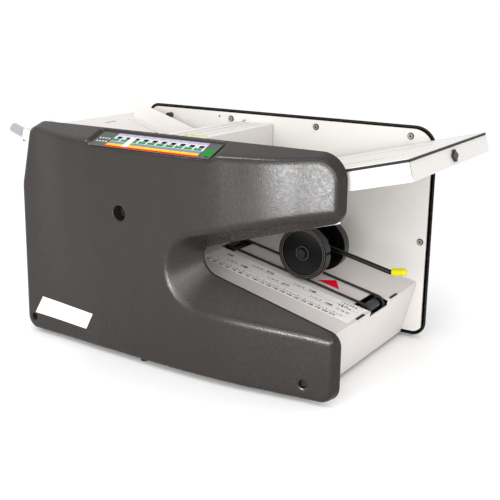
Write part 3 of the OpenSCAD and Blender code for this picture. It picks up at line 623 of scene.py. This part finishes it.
def grid_edge(wide, tall):
    """The places round the edge of a grid of points, wide by tall, stored row by row."""
    edge = list(range(wide)) + [wide * j + wide - 1 for j in range(1, tall)]
    edge += [wide * (tall - 1) + i for i in range(wide - 2, -1, -1)]
    return edge + [wide * j for j in range(tall - 2, 0, -1)]


CHART_THICK = 0.0006


def chart():
    """The fold settings chart: blank coloured rows and columns on a grey sheet."""
    looks = ("grey_label", "print_white", "print_lilac", "print_steel", "print_green",
             "print_yellow", "print_red", "ink", "print_grey", "print_bright_green")
    solids, face = Solids(*looks), Face("setting_label")
    (grey, white, lilac, steel, green, yellow, red, ink, line, bright) = range(len(looks))
    left, end, columns = 0.135, 0.9, 10
    pitch = (end - left) / columns
    patches = [(left, end, 0.03, 0.985, white), (left, end, 0.03, 0.19, lilac),
               (left, end, 0.42, 0.57, green), (left, end, 0.59, 0.75, steel),
               (left - 0.005, end, 0.75, 0.89, yellow), (left - 0.01, end, 0.89, 0.985, red)]
    for i in range(columns):
        x = left + pitch * i
        patches.append((x + pitch * 0.32, x + pitch * 0.84, 0.24, 0.4, ink))
        patches.append((x, x + pitch * 0.06, 0.03, 0.92, line))
        patches.append((x + pitch * 0.84, x + pitch * 1.06, 0.42, 0.57, white))
    patches.append((left + pitch * 1.75, left + pitch * 2.4, 0.2, 0.9, white))
    patches.append((0.925, 0.99, 0.45, 0.84, bright))
    patches.append((0.955, 0.985, 0.87, 0.93, ink))
    patches += [(0.02 + 0.026 * i, 0.034 + 0.026 * i, v, v + 0.07, white)
                for i in range(4) for v in (0.42, 0.64)]
    us = sorted({q for a, b, *_ in patches for q in (a, b)} | {0, 1})
    vs = sorted({q for _, _, a, b, _ in patches for q in (a, b)} | {0, 1})
    wide = len(us)
    solids.verts += [face.place(u, v) for v in vs for u in us]

    def look_at(u, v):
        found = grey
        for a, b, c, d, look in patches:
            if a <= u <= b and c <= v <= d:
                found = look
        return found

    for j in range(len(vs) - 1):
        for i in range(wide - 1):
            k = j * wide + i
            solids.faces.append([k, k + wide, k + wide + 1, k + 1])
            solids.used.append(look_at((us[i] + us[i + 1]) / 2, (vs[j] + vs[j + 1]) / 2))
    ring = grid_edge(wide, len(vs))
    base = len(solids.verts)
    solids.verts += [solids.verts[q] - face.up * CHART_THICK for q in ring]
    n = len(ring)
    solids.faces += [[ring[i], ring[(i + 1) % n], base + (i + 1) % n, base + i]
                     for i in range(n)]
    solids.faces.append([base + i for i in range(n)])
    solids.used += [grey] * (n + 1)
    solids.save("setting_chart", "chassis", "grey_label", ["setting_label"], 20)


def ruler():
    """Fine lines, ticks and figures on the delivery ruler."""
    solids, face = Solids("ink", "print_grey"), Face("ruler_strip")
    long, wide = face.wide / MM, face.tall / MM
    face.patch(solids, 4, long - 4, 2.2, 2.7, 0)
    face.patch(solids, 40, long - 4, wide * 0.34, wide * 0.34 + 0.3, 1)
    face.patch(solids, 4, long - 30, wide * 0.62, wide * 0.62 + 0.3, 1)
    for i in range(int((long - 16) / 2.5)):
        x = 8 + 2.5 * i
        tick = (5.0, 1.6, 2.6, 1.6)[i % 4]
        face.patch(solids, x, x + 0.7, wide - 8 - tick, wide - 8)
    for i in range(int((long - 16) / 10)):
        face.words(solids, str((i + 3) * 10), 6 + 10 * i, wide - 2, 5.2)
    for i, text in enumerate(("105", "148", "210", "297", "148", "105")):
        face.words(solids, text, 14 + 31 * i, wide * 0.33 - 1.5 + 14 * (i % 2), 6.8)
        face.words(solids, "1 / 2 / 3", 24 + 31 * i, wide * 0.33 + 12 - 13 * (i % 2), 4.8)
    for i, text in enumerate(("1 2 3 4 5 6", "7 8 9 10", "11 12 13")):
        face.words(solids, text, long - 32 + 2 * i, 9 + 11 * i, 5)
    solids.save("ruler_print", "chassis", "black_plastic")


def deck_slot_shade_and_studs():
    """Painted shade: two black strips on the deck standing in for the dark slots at its end, and a
    black dash for the dark slot in the feed table; also two black studs on the deck.
    """
    face = Face("ruler_strip")
    long = face.wide / MM
    shade_and_studs = Solids("black_rubber")
    # Painted shade: a black strip for each dark slot at the deck's end.
    for y in (-52, 43):
        corner = face.origin.y / MM - y
        face.patch(shade_and_studs, long + 1.6, long + 4.7, corner - 20, corner, 0, 0.5, 0.5)
    for x, y in ((-91, -6), (-69, -4.5)):
        centre = face.at(long + 5 + x, face.origin.y / MM - y, -0.0006)
        shade_and_studs.turned(centre, face.up, [(0.0001, 0), (0.0017, 0), (0.0016, 0.0011),
                                        (0.0011, 0.0016), (0.0001, 0.0018)], 0, 20)
    # Painted shade: a black dash for the dark slot in the feed table.
    Face("feed_table").patch(shade_and_studs, 19, 20.2, 67, 90)
    shade_and_studs.save("deck_slot_shade_and_studs", "chassis", "black_rubber")


# The name plate's corners on the near cover, in millimetres: its top and foot edges.
PLATE_TOP = Vector((-200.8, 49.6)), Vector((-107, 45.5))
PLATE_FOOT = Vector((-216.1, 24.7)), Vector((-120.7, 22.2))


def sticker():
    """The blank name plate, which follows the cover's crown."""
    cols, rows = 24, 8
    flat = []
    for j in range(rows + 1):
        for i in range(cols + 1):
            top, foot = (a.lerp(b, i / cols) for a, b in (PLATE_TOP, PLATE_FOOT))
            flat.append(tuple(top.lerp(foot, j / rows)))
    flat = np.array(flat)
    depth = near_shape.depth(flat)
    solids = Solids("white_label")
    for rise in (0.35, -0.25):
        solids.verts += [near_origin + Vector((x, -(y + rise), z)) * MM
                         for (x, z), y in zip(flat, depth)]
    n, wide = len(flat), cols + 1
    for j in range(rows):
        for i in range(cols):
            k = j * wide + i
            quad = [k, k + wide, k + wide + 1, k + 1]
            solids.faces += [quad, [n + q for q in quad[::-1]]]
    ring = grid_edge(wide, rows + 1)
    solids.faces += [[a, b, n + b, n + a] for a, b in zip(ring, ring[1:] + ring[:1])]
    solids.used = [0] * len(solids.faces)
    solids.save("name_plate", "chassis", "white_label", ["badge"], 30)


def tray_lines():
    """A black bead of painted shade along the lid's near and end edges, for the dark gap where the
    lid meets its walls, and grey lines along the lid of the long fold plate.
    """
    face = Face("plate_1_lid")
    long, wide = face.wide / MM, face.tall / MM
    solids = Solids("black_rubber", "print_grey")
    drop = -0.0021
    # Painted shade: the black bead stands in for the dark gap where the lid meets the near and end
    # walls.
    near = [face.at(x, wide + 0.15, drop) for x in (20, long + 0.1)]
    end = [face.at(long + 0.15, y, drop) for y in (wide + 0.15, 6)]
    solids.rod(near, 0.0015, 0)
    solids.rod(end, 0.0015, 0)
    solids.rod([face.at(long, wide, d) for d in (-0.0035, -0.0192)], 0.0004, 1)
    middle = wide / 2
    for y, a, b in ((middle - 48, 95, 262), (middle + 50, 120, 270), (middle + 58, 60, 250)):
        face.patch(solids, a, b, y, y + 0.9, 1)
    face.patch(solids, 30, long - 8, 6, 6.8, 1)
    solids.save("tray_lines", "chassis", "black_rubber")


def hood_lines():
    """Fine lines along the hood, and the strip of tape near its end."""
    low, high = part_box("hood")
    solids = Solids("print_grey", "yellow_vinyl")
    z = high.z - 0.00003

    def strip(x0, x1, y0, y1, look=0, rise=0.06):
        a, b = low.y + y0 * MM, low.y + y1 * MM
        x0, x1 = low.x + x0 * MM, low.x + x1 * MM
        solids.prism([(x0, a, z), (x1, a, z), (x1, b, z), (x0, b, z)], (0, 0, rise * MM), look)

    for x in (8.5, 16.5, 19.5, 29, 37):
        strip(x, x + 1.0, 3, 238)
    strip(12, 46, 92, 97, 1, 0.4)
    solids.save("hood_lines", "hood", "yellow_vinyl")


SCREW_SPREAD = 0.012
SCREW_HEAD = 0.0018


def screw_details():
    """Painted shade on each far frame screw: a dark ring for the shadow round its head and a dark
    cross for the shade in its recess; and the bright collar of the hood's rod."""
    solids = Solids("zinc", "dark_steel")
    mesh = nodes["frame_screws"].data
    far = [v.co for v in mesh.vertices if v.co.y > 0]
    groups = []
    for q in far:
        for g in groups:
            if (Vector((g[0].x, 0, g[0].z)) - Vector((q.x, 0, q.z))).length < SCREW_SPREAD:
                g.append(q)
                break
        else:
            groups.append([q])
    for g in groups:
        x = (min(q.x for q in g) + max(q.x for q in g)) / 2
        z = (min(q.z for q in g) + max(q.z for q in g)) / 2
        y = min(q.y for q in g)
        wall = y + SCREW_HEAD
        # Painted shadow: a dark ring round the screw's head.
        solids.turned((x, wall, z), (0, -1, 0),
                      [(0.0033, -0.0002), (0.0046, -0.0002), (0.0044, 0.0007), (0.0033, 0.0009)], 1)
        # Painted shade: a dark cross where the screw's recess lies in shade.
        for wx, wz in ((0.0019, 0.0005), (0.0005, 0.0019)):
            solids.prism([(x - wx, y + 0.0001, z - wz), (x + wx, y + 0.0001, z - wz),
                          (x + wx, y + 0.0001, z + wz), (x - wx, y + 0.0001, z + wz)],
                         (0, -0.00025, 0), 1)
    low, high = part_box("hood_hinge_rod")
    centre = ((low.x + high.x) / 2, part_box("far_frame")[0].y, (low.z + high.z) / 2 + 0.0022)
    solids.turned(centre, (0, -1, 0), [(0.0026, -0.0002), (0.0052, -0.0002), (0.005, 0.0012),
                                       (0.0036, 0.0016), (0.0026, 0.0016)], 0)
    solids.save("screw_details", "chassis", "zinc")


def painted_wheel_highlights():
    """Painted highlights: grey rings on the stacker wheels' black outer faces, standing in for the
    light caught by the rim's bevel and round the hub.
    """
    low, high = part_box("stacker_wheels")
    x, z = (low.x + high.x) / 2, (low.z + high.z) / 2
    radius = (high.x - low.x) / 2
    solids = Solids("wheel_highlight_paint")
    # Painted highlights: two rings near the rim and one round the hub.
    for r, wide in ((radius - 0.0021, 0.0004), (radius - 0.0046, 0.0003), (0.0086, 0.0004)):
        for y, way in ((low.y, -1), (high.y, 1)):
            solids.turned((x, y, z), (0, way, 0),
                          [(r - wide, -0.0004), (r + wide, -0.0004), (r + wide * 0.5, 0.00015),
                           (r - wide * 0.5, 0.00015)], 0, 96)
    solids.save("painted_wheel_highlights", "stacker_wheelset", "black_gloss")


chart()
ruler()
deck_slot_shade_and_studs()
sticker()
tray_lines()
hood_lines()
screw_details()
painted_wheel_highlights()


# ---- camera, floor and light ------------------------------------------------


CAMERA_AT = Vector((630.6, -954.5, 438.5)) * MM
CAMERA_TURN = (32.51, 15.63, 0.61)
CAMERA_LENS = 64.64
FLOOR_HALF = 40
FLOOR_GAP = 0.0002


def camera():
    """The camera, turned by CAMERA_TURN's yaw, pitch down and roll in degrees."""
    yaw, pitch, roll = (math.radians(angle) for angle in CAMERA_TURN)
    ahead = Vector((-math.sin(yaw) * math.cos(pitch), math.cos(yaw) * math.cos(pitch),
                    -math.sin(pitch)))
    level = Vector((math.cos(yaw), math.sin(yaw), 0))
    up = level.cross(ahead)
    right = math.cos(roll) * level + math.sin(roll) * up
    top = -math.sin(roll) * level + math.cos(roll) * up
    data = bpy.data.cameras.new("camera")
    data.lens = CAMERA_LENS
    cam = bpy.data.objects.new("camera", data)
    turn = Matrix((right, top, -ahead)).transposed().to_4x4()
    cam.matrix_world = Matrix.Translation(CAMERA_AT) @ turn
    bpy.context.scene.collection.objects.link(cam)
    bpy.context.scene.camera = cam


def lamp(name, at, aim, size, power, only=()):
    """A soft rectangular lamp, for the whole scene or only for some pieces."""
    data = bpy.data.lights.new(name, "AREA")
    data.shape = "RECTANGLE"
    data.size, data.size_y = size
    data.energy = power
    o = bpy.data.objects.new(name, data)
    o.location = at
    o.rotation_mode = "QUATERNION"
    o.rotation_quaternion = (Vector(aim) - Vector(at)).to_track_quat("-Z", "Y")
    o.visible_camera = False
    bpy.context.scene.collection.objects.link(o)
    if only:
        lit = bpy.data.collections.new(name + "_lit")
        for piece in only:
            lit.objects.link(piece)
        o.light_linking.receiver_collection = lit


camera()
lamp("front", (0.03, -1.15, 0.07), (0.17, -0.15, 0.2), (0.26, 0.12), 10, [near_cover])
lamp("lip", (-0.62, -0.5, 1.36), (0, -0.15, 0.1), (0.3, 0.3), 8, [near_cover])
lamp("face", (0.1, -2.5, 1.0), (0.02, 0, 0.14), (1.6, 1.1), 27)
lamp("fill", (0.9, -2.1, 0.45), (0.1, 0, 0.14), (1.2, 0.7), 19)
lamp("key", (0.3, -0.9, 2.2), (0.1, 0, 0.1), (1.2, 1.2), 6)

world = bpy.data.worlds.new("studio")
world.use_nodes = True
backdrop = world.node_tree.nodes["Background"]
backdrop.inputs["Color"].default_value = (1, 1, 1, 1)
backdrop.inputs["Strength"].default_value = 1.05
bpy.context.scene.world = world
bpy.context.scene.view_settings.view_transform = "Standard"

floor_mesh = bpy.data.meshes.new("floor")
floor_z = cad_low.z - FLOOR_GAP
floor_mesh.from_pydata([(FLOOR_HALF * x, FLOOR_HALF * y, floor_z)
                        for x, y in ((-1, -1), (1, -1), (1, 1), (-1, 1))], [], [(0, 1, 2, 3)])
floor = bpy.data.objects.new("floor", floor_mesh)
bpy.context.scene.collection.objects.link(floor)
floor_mesh.materials.append(material("floor_paint", (250, 250, 250), 0.9, shade=0.0,
                                     rough_spread=0.0))
